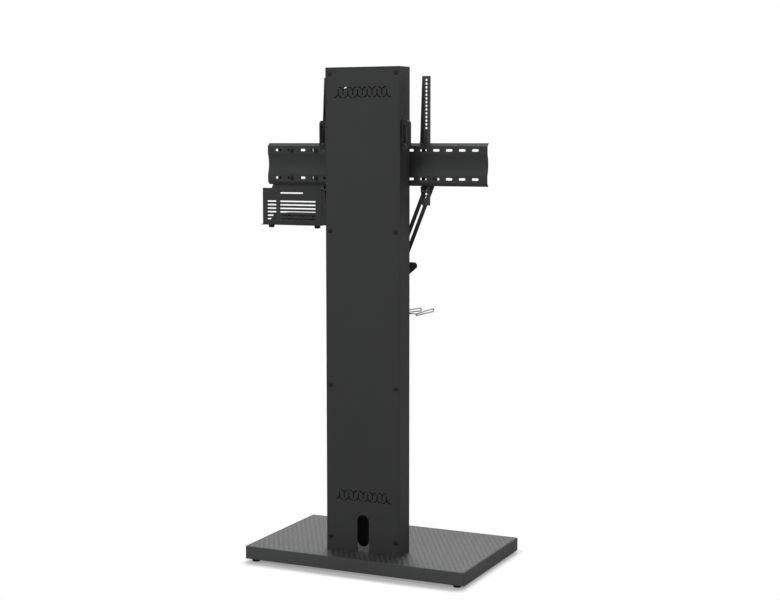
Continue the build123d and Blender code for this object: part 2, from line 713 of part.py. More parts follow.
SLOT_SPOTS = [
    (slot_x(index), RAIL_Z + row * ROW_Z)
    for index in range(-SLOT_SIDE, SLOT_SIDE + 1)
    for row in (-1, 1)
]
with BuildPart() as tv_rail:
    with BuildSketch(Plane.YZ.offset(-RAIL_L / 2)):
        with BuildLine():
            rail_face(RAIL_REAR)
            rail_face(RAIL_FRONT)
            for tip in (RAIL_Z - RAIL_H / 2, RAIL_Z + RAIL_H / 2):
                Line((-RAIL_REAR - RAIL_LIP, tip), (-RAIL_FRONT - RAIL_LIP, tip))
        make_face()
    extrude(amount=RAIL_L)
    slots_through(SLOT_SPOTS, SLOT_L, SLOT_H, -RAIL_REAR, -RAIL_FRONT)
save(tv_rail, "tv_rail")

with BuildPart() as rail_bolts:
    for x, z in BOLT_SPOTS:
        rod(x, z, CARRIAGE_REAR, -RAIL_FRONT, BOX_BOLT_R)
        hexagon(x, z, -RAIL_FRONT, -RAIL_FRONT - 4, BOX_BOLT_HEAD_R)
save(rail_bolts, "rail_bolts")

# Screen arms: channels whose flanges hook over the rail's top lip
ARM_BACK = ARM_FACE - ARM_T
ARM_TOP_Z = ARM_Z + ARM_RISE
ARM_LOW_Z = ARM_Z - ARM_DROP
LIP_TOP = RAIL_Z + RAIL_H / 2
LIP_LOW = RAIL_Z - RAIL_H / 2
HOOK_EDGE = HOOK_REAR - HOOK_BACK
flange_outline = [
    (ARM_FACE, ARM_TOP_Z),
    (ARM_FACE - ARM_EDGE, ARM_TOP_Z),
    (HOOK_EDGE + 1.0, LIP_TOP + HOOK_SHOULDER[0]),
    (HOOK_EDGE, LIP_TOP + HOOK_SHOULDER[1]),
    (HOOK_EDGE, LIP_TOP - HOOK_DROP),
    (HOOK_EDGE + HOOK_T, LIP_TOP - HOOK_DROP),
    (HOOK_EDGE + HOOK_T, LIP_TOP + HOOK_GAP),
    (ARM_REACH, LIP_TOP + HOOK_GAP),
    (ARM_REACH, LIP_LOW - ARM_SKIRT),
    (HOOK_REAR, LIP_LOW - ARM_SKIRT),
    (ARM_FACE - ARM_EDGE, ARM_LOW_Z),
    (ARM_FACE, ARM_LOW_Z),
]
ARM_HOLES = [
    ARM_Z + sign * (ARM_HOLE_FIRST + step * ARM_HOLE_PITCH)
    for sign in (-1, 1)
    for step in range(ARM_HOLE_COUNT)
]
TAB_Z = (DECK_Z + LOCK_TAB_LOW, DECK_Z + LOCK_TAB_LOW + HOOK_T)


def screen_arm(side):
    """Channel arm, its holes and the tab that carries the lock screw."""
    x_mid = side * ARM_X
    x0 = x_mid - ARM_W / 2
    x1 = x_mid + ARM_W / 2
    screw_x = x_mid - side * LOCK_X
    with BuildPart() as arm:
        for edge in (x0, x1 - ARM_T):
            profile([(-reach, z) for reach, z in flange_outline], edge, edge + ARM_T)
        block((x0, x1), (-ARM_FACE, -ARM_BACK), (ARM_LOW_Z, ARM_TOP_Z))
        block((x0, x1), (-ARM_BACK, -HOOK_REAR - 1), TAB_Z)
        for z in ARM_HOLES:
            rod(x_mid, z, -ARM_BACK, -ARM_FACE, ARM_HOLE_R, Mode.SUBTRACT)
        post(screw_x, -LOCK_Y, *TAB_Z, LOCK_R + THREAD_GAP, Mode.SUBTRACT)
    return arm


def lock_screw(side):
    """Screw under the tab whose tip locks against the rail's lower lip."""
    screw_x = side * (ARM_X - LOCK_X)
    head_top = TAB_Z[0] - LOCK_TRAVEL - 1
    with BuildPart() as screw:
        post(screw_x, -LOCK_Y, head_top - 4, head_top, LOCK_HEAD_R)
        post(screw_x, -LOCK_Y, head_top, LIP_LOW - HOOK_GAP, LOCK_R)
    return screw


for name, side in (("left", -1), ("right", 1)):
    save(screen_arm(side), f"screen_arm_{name}")
    save(lock_screw(side), f"arm_lock_screw_{name}")

# Media box: slotted back plate with a neck that bolts to the rail
BOX_FRONT = BOX_REAR + BOX_T
BOX_Z0 = DECK_Z + BOX_LOW
BOX_Z1 = DECK_Z + BOX_TOP
NECK_Z1 = DECK_Z + NECK_TOP
FLOOR_TOP = BOX_Z0 + BOX_T
LOW_ROW = RAIL_Z - ROW_Z
neck_outline = [
    (BOX_X0, FLOOR_TOP),
    (BOX_X1, FLOOR_TOP),
    (BOX_X1, BOX_Z1),
    *[(x, DECK_Z + z) for x, z in NECK_FLARE],
    (NECK_X1, NECK_Z1),
    (NECK_X0, NECK_Z1),
    (NECK_X0, BOX_Z1),
    (BOX_X0, BOX_Z1),
]
NECK_SLOTS = [(slot_x(index), RAIL_Z + row * ROW_Z) for index in (5, 6, 7) for row in (-1, 1)]
LOUVRE_Z = [DECK_Z + LOUVRE_LOW + row * LOUVRE_PITCH for row in range(LOUVRE_ROWS)]
FLANGE_TOP = FLOOR_TOP + BOX_T
TRAY_SCREW_Y = -BOX_FRONT - TRAY_FLANGE_D / 2
LEG_X = BRACKET_X0 + HANGER_T + BRACKET_ROOM
LEG_Z = [LOW_ROW + side * (BRACKET_H / 2 + BRACKET_ROOM) for side in (-1, 1)]
BOX_BOLTS = [(x, RAIL_Z + row * ROW_Z) for x in BOX_BOLT_X for row in (-1, 1)]
with BuildPart() as box_plate:
    plate(neck_outline, -BOX_REAR, -BOX_FRONT)
    block((NECK_X0, LEG_X), (-BOX_FRONT, -BOX_REAR), LEG_Z, Mode.SUBTRACT)
    block((BOX_X0 + TRAY_FLANGE_END, BOX_X1 - TRAY_FLANGE_END),
          (-BOX_FRONT - TRAY_FLANGE_D, -BOX_FRONT), (FLOOR_TOP, FLOOR_TOP + BOX_T))
    for louvre_x, louvre_w in LOUVRES:
        rows = [(louvre_x, z) for z in LOUVRE_Z]
        slots_through(rows, louvre_w, LOUVRE_H, -BOX_REAR, -BOX_FRONT)
    slots_through([(TOP_LOUVRE[0], BOX_Z1 - 14)], TOP_LOUVRE[1], LOUVRE_H,
                  -BOX_REAR, -BOX_FRONT)
    slots_through(NECK_SLOTS, NECK_SLOT_L, NECK_SLOT_H, -BOX_REAR, -BOX_FRONT)
    for x in TRAY_SCREW_X:
        post(x, TRAY_SCREW_Y, FLOOR_TOP, FLANGE_TOP, SCREW_R + HOLE_GAP, Mode.SUBTRACT)
save(box_plate, "media_box_back_plate")

# Media tray: floor, slotted side wall and low lips at the front and the open side
TRAY_X1 = BOX_X1 + TRAY_LIP
TRAY_FRONT = BOX_FRONT + BOX_DEPTH
TRAY_Y = (-TRAY_FRONT, -BOX_REAR + TRAY_REAR)
BUMPERS = [
    (x, y)
    for x in (BOX_X0 + BUMPER_INSET_X[0], BOX_X1 - BUMPER_INSET_X[1])
    for y in (-BOX_FRONT - BUMPER_INSET_Y[0], -TRAY_FRONT + BUMPER_INSET_Y[1])
]
SIDE_SLOT_SPOTS = [
    (-BOX_FRONT - SIDE_SLOT_FIRST - step * SIDE_SLOT_PITCH, BOX_Z0 + SIDE_SLOT_Z)
    for step in range(SIDE_SLOTS)
]
side_lip = [
    (-TRAY_FRONT, BOX_Z0),
    (-BOX_FRONT - SIDE_LIP_START[0], BOX_Z0),
    (-BOX_FRONT - SIDE_LIP_START[1], BOX_Z0 + TRAY_EDGE_H),
    (-TRAY_FRONT, BOX_Z0 + TRAY_EDGE_H),
]
with BuildPart() as media_tray:
    block((BOX_X0, TRAY_X1), TRAY_Y, (BOX_Z0, FLOOR_TOP))
    block((BOX_X0, BOX_X0 + BOX_T), (-TRAY_FRONT, -BOX_FRONT),
          (BOX_Z0, BOX_Z1 - SIDE_WALL_DROP))
    block((BOX_X0, TRAY_X1), (-TRAY_FRONT, -TRAY_FRONT + BOX_T),
          (BOX_Z0, BOX_Z0 + TRAY_EDGE_H))
    profile(side_lip, TRAY_X1 - BOX_T, TRAY_X1)
    with BuildSketch(Plane.YZ.offset(BOX_X0)):
        with Locations(SIDE_SLOT_SPOTS):
            SlotOverall(SIDE_SLOT_L, SIDE_SLOT_W, rotation=90)
    extrude(amount=BOX_T, mode=Mode.SUBTRACT)
    for x in TRAY_SCREW_X:
        post(x, TRAY_SCREW_Y, BOX_Z0, FLOOR_TOP, SCREW_R + THREAD_GAP, Mode.SUBTRACT)
save(media_tray, "media_tray")

with BuildPart() as tray_bumpers:
    for spot in BUMPERS:
        post(*spot, BOX_Z0 - BUMPER_H, BOX_Z0, BUMPER_R)
    fillet(tray_bumpers.edges().group_by(Axis.Z)[0], 3.0)
save(tray_bumpers, "tray_bumpers")

with BuildPart() as tray_screws:
    for x in TRAY_SCREW_X:
        post(x, TRAY_SCREW_Y, BOX_Z0, FLANGE_TOP, SCREW_R)
        post(x, TRAY_SCREW_Y, FLANGE_TOP, FLANGE_TOP + TRAY_SCREW_HEAD_H, TRAY_SCREW_HEAD_R)
save(tray_screws, "tray_screws")


def shared_bolt(x, z):
    """True for the one media box bolt that also holds a hanger bracket."""
    return x == BOX_BOLT_X[0] and z < RAIL_Z


with BuildPart() as box_spacers:
    for x, z in BOX_BOLTS:
        start = RAIL_FRONT + HANGER_T if shared_bolt(x, z) else RAIL_FRONT
        rod(x, z, -start, -BOX_REAR, WASHER_R - 0.5)
        rod(x, z, -start, -BOX_REAR, BOX_BOLT_R + HOLE_GAP, Mode.SUBTRACT)
save(box_spacers, "media_box_spacers")

with BuildPart() as box_bolts:
    for x, z in BOX_BOLTS:
        stack = THIN_NUT_T if shared_bolt(x, z) else WASHER_T + NUT_T + 1
        rod(x, z, -RAIL_REAR, -BOX_FRONT - stack, BOX_BOLT_R)
        hexagon(x, z, -RAIL_REAR + BOX_BOLT_HEAD_H, -RAIL_REAR, BOX_BOLT_HEAD_R)
save(box_bolts, "media_box_bolts")

with BuildPart() as box_nuts:
    for x, z in BOX_BOLTS:
        washer = 0 if shared_bolt(x, z) else WASHER_T
        height = THIN_NUT_T if shared_bolt(x, z) else NUT_T
        nut_rear = -BOX_FRONT - washer
        if washer:
            rod(x, z, -BOX_FRONT, nut_rear, WASHER_R)
        hexagon(x, z, nut_rear, nut_rear - height, BOX_BOLT_HEAD_R)
        rod(x, z, -BOX_FRONT, nut_rear - height, BOX_BOLT_R + THREAD_GAP, Mode.SUBTRACT)
save(box_nuts, "media_box_nuts")


def hanger_bracket(side, hole_r):
    """Bent bracket that carries a bar's top end in front of the screen arms."""
    z = (LOW_ROW - BRACKET_H / 2, LOW_ROW + BRACKET_H / 2)
    leg_x = BRACKET_X0 + HANGER_T
    with BuildPart() as bracket:
        block(sorted((side * BRACKET_X0, side * BRACKET_X1)),
              (-RAIL_FRONT - HANGER_T, -RAIL_FRONT), z)
        block(sorted((side * BRACKET_X0, side * leg_x)), (-BAR_REAR, -RAIL_FRONT), z)
        block(sorted((side * BRACKET_X0, side * BRACKET_LIP)),
              (-BAR_REAR, -BAR_REAR + HANGER_T), z)
        rod(side * BOX_BOLT_X[0], LOW_ROW, -RAIL_FRONT, -RAIL_FRONT - HANGER_T,
            hole_r, Mode.SUBTRACT)
        rod(side * BRACKET_BOLT_X, LOW_ROW, -BAR_REAR + HANGER_T, -BAR_REAR,
            HANGER_BOLT_R + THREAD_GAP, Mode.SUBTRACT)
    return bracket


# Hanger brackets, the slot nut of the left one and its screw
SLOT_SCREW_R = 2.0
SLOT_NUT_W = SLOT_H - 2 * HOLE_GAP
save(hanger_bracket(-1, SLOT_SCREW_R + HOLE_GAP), "hanger_bracket_left")
save(hanger_bracket(1, BOX_BOLT_R + HOLE_GAP), "hanger_bracket_right")

NUT_SPOT = (-BOX_BOLT_X[0] - 0.2, LOW_ROW)
with BuildPart() as slot_nut:
    rod(*NUT_SPOT, -RAIL_REAR, -RAIL_FRONT, SLOT_NUT_W / 2)
    rod(*NUT_SPOT, -RAIL_REAR, -RAIL_FRONT, SLOT_SCREW_R + THREAD_GAP, Mode.SUBTRACT)
save(slot_nut, "hanger_slot_nut")

with BuildPart() as slot_screw:
    rod(*NUT_SPOT, -RAIL_REAR, -RAIL_FRONT - HANGER_T, SLOT_SCREW_R)
    rod(*NUT_SPOT, -RAIL_FRONT - HANGER_T, -RAIL_FRONT - HANGER_T - 2.5, 4.6)
save(slot_screw, "hanger_slot_screw")

# Slotted bars that lean in from the brackets to the hanger plate
BAR_SLOPE = (BAR_TOP[0] - BAR_LOW[0]) / (BAR_TOP[1] - BAR_LOW[1])
BAR_TILT = degrees(atan2(1, BAR_SLOPE))


def bar_x(height):
    """Distance of a bar's centre line from the middle at a height above the base."""
    return BAR_LOW[0] + (height - BAR_LOW[1]) * BAR_SLOPE


def hanger_bar(side):
    """Flat bar with one long adjusting slot along its middle."""
    tilt = BAR_TILT if side > 0 else 180 - BAR_TILT
    with BuildPart() as bar:
        with BuildSketch(Plane.XZ.offset(BAR_REAR)) as outline:
            for (low, high), width, mode in (
                ((BAR_LOW[1], BAR_TOP[1]), BAR_W, Mode.ADD),
                (BAR_SLOT_Z, BAR_SLOT_W, Mode.SUBTRACT),
            ):
                middle = (low + high) / 2
                length = (high - low) / sin(radians(BAR_TILT))
                place = Location((side * bar_x(middle), DECK_Z + middle, 0), (0, 0, tilt))
                with Locations(place):
                    SlotOverall(length + width, width, mode=mode)
        extrude(outline.sketch, amount=BAR_T)
        rod(side * BRACKET_BOLT_X, LOW_ROW, -BAR_REAR, -BAR_FRONT,
            HANGER_BOLT_R + HOLE_GAP, Mode.SUBTRACT)
        rod(side * bar_x(PLATE_BOLT_Z[0]), DECK_Z + PLATE_BOLT_Z[0],
            -BAR_REAR, -BAR_FRONT, HANGER_BOLT_R + HOLE_GAP, Mode.SUBTRACT)
    return bar


save(hanger_bar(-1), "hanger_bar_left")
save(hanger_bar(1), "hanger_bar_right")

# Hanger plate: wide at the top, narrow at the foot, with a ledge and two wire eyes
WIRE_ABS = DECK_Z + WIRE_Z
LOWER_FALL = WIRE_DROP - PRONG_RISE - WIRE_WELD
LEDGE_RUN = (PLATE_FRONT + LEDGE_D - WIRE_AXIS) / (PRONG_END - WIRE_AXIS)
LEDGE_TOP = WIRE_ABS - WIRE_WELD - LOWER_FALL * LEDGE_RUN - WIRE_R - PIVOT_GAP
half_outline = [
    (PLATE_W / 2, DECK_Z + PLATE_TOP),
    (PLATE_W / 2, DECK_Z + PLATE_SHOULDER),
    (PLATE_NECK, DECK_Z + PLATE_NECK_Z),
    (PLATE_NECK, LEDGE_TOP - HANGER_T),
]
plate_outline = half_outline + [(-x, z) for x, z in reversed(half_outline)]
with BuildPart() as hanger_plate:
    plate(plate_outline, -BAR_FRONT, -PLATE_FRONT)
    upper = hanger_plate.edges().filter_by(Axis.Y).group_by(Axis.Z)
    fillet(upper[-1], 9.0)
    shoulders = hanger_plate.edges().filter_by(Axis.Y).group_by(Axis.X)
    fillet([edge for edge in shoulders[0] + shoulders[-1]
            if abs(edge.center().Z - DECK_Z - PLATE_SHOULDER) < 1], 4.0)
    block((-PLATE_NECK, PLATE_NECK), (-PLATE_FRONT - LEDGE_D, -PLATE_FRONT),
          (LEDGE_TOP - HANGER_T, LEDGE_TOP))
    for side in (-1, 1):
        eye_x = sorted((side * EYE_X, side * (EYE_X + EYE_W)))
        block(eye_x, (-WIRE_AXIS, -PLATE_FRONT), (WIRE_ABS - EYE_R, WIRE_ABS + EYE_R))
        with Locations(((eye_x[0] + eye_x[1]) / 2, -WIRE_AXIS, WIRE_ABS)):
            Cylinder(EYE_R, EYE_W, rotation=(0, 90, 0))
    with Locations((0, -WIRE_AXIS, WIRE_ABS)):
        Cylinder(WIRE_R + PIVOT_GAP, 2 * PLATE_NECK, rotation=(0, 90, 0),
                 mode=Mode.SUBTRACT)
    for side in (-1, 1):
        for height in PLATE_BOLT_Z:
            rod(side * bar_x(height), DECK_Z + height, -BAR_FRONT, -PLATE_FRONT,
                HANGER_BOLT_R + THREAD_GAP, Mode.SUBTRACT)
save(hanger_plate, "hanger_plate")

# Screws of the bars: from the front at the brackets, from the rear at the plate
with BuildPart() as hanger_bolts:
    for side in (-1, 1):
        bolt_x = side * BRACKET_BOLT_X
        rod(bolt_x, LOW_ROW, -BAR_REAR + HANGER_T, -BAR_FRONT, HANGER_BOLT_R)
        hexagon(bolt_x, LOW_ROW, -BAR_FRONT, -BAR_FRONT - HANGER_HEAD_H, HANGER_HEAD_R)
        for height in PLATE_BOLT_Z:
            bolt_x = side * bar_x(height)
            rod(bolt_x, DECK_Z + height, -BAR_REAR, -PLATE_FRONT, HANGER_BOLT_R)
            hexagon(bolt_x, DECK_Z + height, -BAR_REAR + HANGER_HEAD_H, -BAR_REAR,
                    HANGER_HEAD_R)
save(hanger_bolts, "hanger_bolts")

# Folding wire rack: one rear wire and four prongs, each doubled back to its root
OUTER_RUN = PRONG_END - WIRE_AXIS
INNER_RUN = OUTER_RUN / cos(radians(PRONG_ANGLE))


def wire(start, end):
    """Straight wire between two points."""
    run = Vector(*end) - Vector(*start)
    with BuildSketch(Plane(origin=start, z_dir=run)) as section:
        Circle(WIRE_R)
    extrude(section.sketch, amount=run.length)


def prong(x, length, splay):
    """One wire that runs out, bends down at the front and comes back to the root."""
    ahead = Vector(sin(radians(splay)), -cos(radians(splay)), 0)
    root = Vector(x, -WIRE_AXIS, WIRE_ABS)
    heel = root - Vector(0, 0, WIRE_WELD)
    tip = root + ahead * length + Vector(0, 0, PRONG_RISE)
    with BuildLine() as path:
        FilletPolyline(root, tip, tip - Vector(0, 0, WIRE_DROP), heel,
                       radius=WIRE_DROP / 2 - BEND_FLAT)
    with BuildSketch(Plane(origin=root, z_dir=tip - root)) as section:
        Circle(WIRE_R)
    sweep(section.sketch, path.wires()[0])


def prong_root(x):
    """Short upright wire that closes a prong at its root."""
    root = Vector(x, -WIRE_AXIS, WIRE_ABS)
    foot = root - Vector(0, 0, WIRE_WELD)
    wire(root, foot)
    with Locations(foot):
        Sphere(WIRE_R)


with BuildPart() as wire_rack:
    wire((-OUTER_PRONG_X, -WIRE_AXIS, WIRE_ABS), (OUTER_PRONG_X, -WIRE_AXIS, WIRE_ABS))
    for side in (-1, 1):
        prong(side * OUTER_PRONG_X, OUTER_RUN, 0)
        prong(side * INNER_PRONG_X, INNER_RUN, side * PRONG_ANGLE)
        with Locations((side * OUTER_PRONG_X, -WIRE_AXIS, WIRE_ABS)):
            Sphere(WIRE_R)
    for side in (-1, 1):
        prong_root(side * OUTER_PRONG_X)
        prong_root(side * INNER_PRONG_X)
save(wire_rack, "wire_rack")
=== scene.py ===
"""Looks of the tv floor stand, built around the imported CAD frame."""

import json
import math

import bpy
from mathutils import Matrix, Vector


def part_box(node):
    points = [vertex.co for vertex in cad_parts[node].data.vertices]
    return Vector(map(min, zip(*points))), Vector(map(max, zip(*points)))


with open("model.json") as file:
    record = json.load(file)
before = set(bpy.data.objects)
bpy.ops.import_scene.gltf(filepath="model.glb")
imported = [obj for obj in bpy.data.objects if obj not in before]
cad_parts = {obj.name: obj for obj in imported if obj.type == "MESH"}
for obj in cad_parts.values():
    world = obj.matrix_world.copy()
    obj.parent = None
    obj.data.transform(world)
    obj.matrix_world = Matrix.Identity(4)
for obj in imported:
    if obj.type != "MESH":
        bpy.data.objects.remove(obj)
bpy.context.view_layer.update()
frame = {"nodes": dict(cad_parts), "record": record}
nodes = frame["nodes"]

MM = 0.001
WHITE = (1, 1, 1, 1)

# Range that a noise texture seldom leaves
NOISE_LOW = 0.3
NOISE_HIGH = 0.7

# Dot product of the rounded and the plain normal, on a sharp edge and on a flat face
EDGE_DOT = 0.75
FLAT_DOT = 0.99
BEVEL_SAMPLES = 4

# Sockets of a colour mix node
MIX_SHARE, MIX_FIRST, MIX_SECOND, MIX_RESULT = 0, 6, 7, 2


# Helpers for shader trees

class Tree:
    """The emptied node tree of a material or world, with short ways to fill it."""

    def __init__(self, owner, output="ShaderNodeOutputMaterial"):
        owner.use_nodes = True
        self.nodes = owner.node_tree.nodes
        self.links = owner.node_tree.links
        self.nodes.clear()
        self.out = self.nodes.new(output)

    def put(self, node, name, value):
        """Links a socket or sets its plain value."""
        socket = node.inputs[name]
        if isinstance(value, bpy.types.NodeSocket):
            self.links.new(value, socket)
        else:
            socket.default_value = value

    def add(self, kind, sockets, operation=None):
        """A new node, with sockets filled by their names or numbers."""
        node = self.nodes.new(kind)
        if operation:
            node.operation = operation
        for name, value in sockets.items():
            self.put(node, name, value)
        return node

    def calc(self, operation, *values):
        """Result of a maths node."""
        node = self.add("ShaderNodeMath", dict(enumerate(values)), operation)
        return node.outputs[0]

    def vector(self, operation, *values, output="Vector"):
        """Result of a vector maths node."""
        node = self.add("ShaderNodeVectorMath", dict(enumerate(values)), operation)
        return node.outputs[output]

    def spread(self, value, low, high, from_low=NOISE_LOW, from_high=NOISE_HIGH,
               smooth=False):
        """Maps a value from one range to another, and holds it there."""
        node = self.add("ShaderNodeMapRange", {
            "Value": value,
            "From Min": from_low,
            "From Max": from_high,
            "To Min": low,
            "To Max": high,
        })
        if smooth:
            node.interpolation_type = "SMOOTHSTEP"
        return node.outputs[0]

    def mask(self, value, from_low=NOISE_LOW, from_high=NOISE_HIGH):
        """Maps a range of a value to 0 to 1."""
        return self.spread(value, 0.0, 1.0, from_low, from_high)

    def seen(self, *rays):
        """1 for the kinds of ray that see the white background."""
        path = self.nodes.new("ShaderNodeLightPath")
        value = path.outputs[rays[0]]
        for ray in rays[1:]:
            value = self.calc("MAXIMUM", value, path.outputs[ray])
        return value

    def finish_with(self, share, first, second):
        """Sends a mix of two shaders to the output."""
        shaders = {1: first.outputs[0], 2: second.outputs[0]}
        mix = self.add("ShaderNodeMixShader", {0: share, **shaders})
        self.put(self.out, "Surface", mix.outputs[0])


class Finish(Tree):
    """A new material with one shader, whose textures sit in object space."""

    def __init__(self, name):
        self.material = bpy.data.materials.new(name)
        super().__init__(self.material)
        self.shader = self.nodes.new("ShaderNodeBsdfPrincipled")
        self.put(self.out, "Surface", self.shader.outputs[0])
        self.place = self.nodes.new("ShaderNodeTexCoord").outputs["Object"]

    def noise(self, scale, detail=2.0, rough=0.5, squeeze=None):
        """Noise texture, squeezed by a factor along each axis where asked."""
        spot = self.vector("MULTIPLY", self.place, squeeze) if squeeze else self.place
        sockets = {"Vector": spot, "Scale": scale, "Detail": detail, "Roughness": rough}
        return self.add("ShaderNodeTexNoise", sockets).outputs["Fac"]

    def crystals(self, scale):
        """Patches of random tone."""
        sockets = {"Vector": self.place, "Scale": scale}
        return self.add("ShaderNodeTexVoronoi", sockets).outputs["Color"]

    def wave(self, direction, period):
        """Sine bands across a direction, from -1 to 1."""
        run = Vector(direction).normalized() * (2 * math.pi / period)
        return self.calc("SINE", self.vector("DOT_PRODUCT", self.place, run, output="Value"))

    def blend(self, share, first, second):
        """Mixes two colours."""
        node = self.nodes.new("ShaderNodeMix")
        node.data_type = "RGBA"
        self.put(node, MIX_SHARE, share)
        self.put(node, MIX_FIRST, first)
        self.put(node, MIX_SECOND, second)
        return node.outputs[MIX_RESULT]

    def rounded(self, radius):
        """Normal that is rounded over the edges."""
        node = self.add("ShaderNodeBevel", {"Radius": radius})
        node.samples = BEVEL_SAMPLES
        return node.outputs[0]

    def edges(self, radius, edge_dot=EDGE_DOT):
        """Mask that is 1 along edges and 0 on flat faces."""
        plain = self.nodes.new("ShaderNodeNewGeometry").outputs["Normal"]
        dot = self.vector("DOT_PRODUCT", self.rounded(radius), plain, output="Value")
        return self.spread(dot, 1.0, 0.0, edge_dot, FLAT_DOT)

    def relief(self, height, strength, distance, edge_radius=0.0):
        """Bump on the shader, over slightly rounded edges where asked."""
        sockets = {"Strength": strength, "Distance": distance, "Height": height}
        if edge_radius:
            sockets["Normal"] = self.rounded(edge_radius)
        bump = self.add("ShaderNodeBump", sockets)
        self.put(self.shader, "Normal", bump.outputs[0])

    def set(self, **sockets):
        """Fills sockets of the shader, where an underscore stands for a space."""
        for name, value in sockets.items():
            self.put(self.shader, name.replace("_", " "), value)


def grey(value, warm=0.0):
    """Neutral colour with a slight cool or warm cast."""
    return (value * (1 + warm), value, value * (1 - warm), 1.0)


# Finishes

def powder_coat(name, shade, shine):
    """Satin powder coat: fine orange peel, faint mottling, and paler edges that are partly
    worn paint and partly a painted edge highlight.
    """
    tree = Finish(name)
    grain = tree.mask(tree.noise(1400.0, 2.0, 0.6), 0.35, 0.65)
    mottle = tree.spread(tree.noise(5.0, 3.0, 0.55), 0.0, 0.35, 0.3, 0.75)
    patch = tree.spread(tree.noise(60.0, 3.0, 0.6), 0.15, 0.85, 0.35, 0.7)
    fine = tree.blend(grain, grey(shade * 0.9, -0.01), grey(shade * 1.1, -0.015))
    broad = tree.blend(mottle, fine, grey(shade * 1.22, -0.012))
    # Paler edges: partly worn paint, partly a painted edge highlight.
    worn_or_highlit_edge = tree.calc("MULTIPLY", tree.edges(0.9 * MM, 0.72), patch)
    tree.set(
        Base_Color=tree.blend(worn_or_highlit_edge, broad, grey(shade * 1.6, -0.01)),
        Roughness=tree.spread(tree.noise(320.0), 0.46, 0.6),
        Specular_IOR_Level=shine,
    )
    peel = tree.noise(950.0, 1.5)
    tree.relief(peel, strength=0.35, distance=0.12 * MM, edge_radius=0.7 * MM)
    return tree.material


def woven_mat():
    """Grey woven inlay: two crossing sets of slanted bands over a fine weave."""
    band_x, band_y, band_pitch = 0.868, 0.496, 13.8 * MM
    thread_pitch = 1.6 * MM
    reach = 1.2
    tree = Finish("woven_mat")
    main = tree.wave((band_x, band_y, 0.0), band_pitch)
    cross = tree.wave((band_x, -band_y, 0.0), band_pitch)
    warp = tree.wave((1.0, 0.0, 0.0), thread_pitch)
    weft = tree.wave((0.0, 1.0, 0.0), thread_pitch)
    fibre = tree.noise(700.0, 2.0, 0.6)
    blotch = tree.noise(9.0)
    layers = [
        (main, 0.62),
        (tree.calc("MULTIPLY", warp, weft), 0.3),
        (tree.calc("SUBTRACT", fibre, 0.5), 0.9),
        (tree.calc("SUBTRACT", blotch, 0.5), 0.5),
    ]
    lift = tree.calc("MULTIPLY", cross, 0.3)
    for layer, weight in layers:
        lift = tree.calc("MULTIPLY_ADD", layer, weight, lift)
    tree.set(
        Base_Color=tree.blend(tree.mask(lift, -reach, reach), grey(0.012), grey(0.092)),
        Roughness=tree.spread(fibre, 0.34, 0.46),
        Specular_IOR_Level=0.5,
    )
    tree.relief(lift, strength=0.8, distance=0.4 * MM)
    return tree.material


def rubber():
    """Dull black rubber with a little dust."""
    tree = Finish("black_rubber")
    dust = tree.mask(tree.noise(180.0, 3.0, 0.6), 0.45, 0.8)
    tree.set(
        Base_Color=tree.blend(dust, grey(0.012), grey(0.035)),
        Roughness=tree.spread(tree.noise(600.0), 0.7, 0.9),
        Specular_IOR_Level=0.25,
    )
    tree.relief(tree.noise(1500.0, 2.0, 0.6), strength=0.3, distance=0.08 * MM)
    return tree.material


def zinc(name, shade, rough):
    """Zinc plate: faint crystal patches and fine rolling marks."""
    tree = Finish(name)
    crystal = tree.mask(tree.crystals(160.0), 0.2, 0.8)
    streak = tree.noise(90.0, 3.0, 0.6, squeeze=(1.0, 1.0, 14.0))
    tone = tree.blend(crystal, grey(shade * 0.82, -0.02), grey(shade * 1.12, -0.01))
    dull = tree.spread(streak, 0.0, 0.35, 0.4, 0.7)
    tree.set(
        Base_Color=tree.blend(dull, tone, grey(shade * 0.7)),
        Metallic=1.0,
        Roughness=tree.spread(streak, rough - 0.06, rough + 0.14),
    )
    tree.relief(tree.noise(800.0), strength=0.15, distance=0.05 * MM)
    return tree.material


def black_oxide():
    """Blackened steel fasteners with slightly rubbed edges."""
    tree = Finish("black_screws")
    cloud = tree.noise(400.0, 3.0, 0.6)
    body = tree.blend(tree.mask(cloud), grey(0.007), grey(0.014))
    patch = tree.spread(cloud, 0.1, 0.6, 0.35, 0.7)
    rubbed = tree.calc("MULTIPLY", tree.edges(0.5 * MM), patch)
    tree.set(
        Base_Color=tree.blend(rubbed, body, grey(0.09)),
        Roughness=tree.spread(cloud, 0.24, 0.36),
        Specular_IOR_Level=0.3,
    )
    fine = tree.noise(1800.0)
    tree.relief(fine, strength=0.15, distance=0.04 * MM, edge_radius=0.35 * MM)
    return tree.material


def glide_plastic():
    """Moulded plastic with a fine spark-eroded grain."""
    tree = Finish("glide_plastic")
    grain = tree.noise(1700.0, 2.0, 0.6)
    tree.set(
        Base_Color=tree.blend(tree.mask(grain), grey(0.0425), grey(0.0575)),
        Roughness=tree.spread(tree.noise(40.0), 0.35, 0.47),
        Specular_IOR_Level=0.15,
    )
    tree.relief(grain, strength=0.35, distance=0.08 * MM, edge_radius=0.4 * MM)
    return tree.material


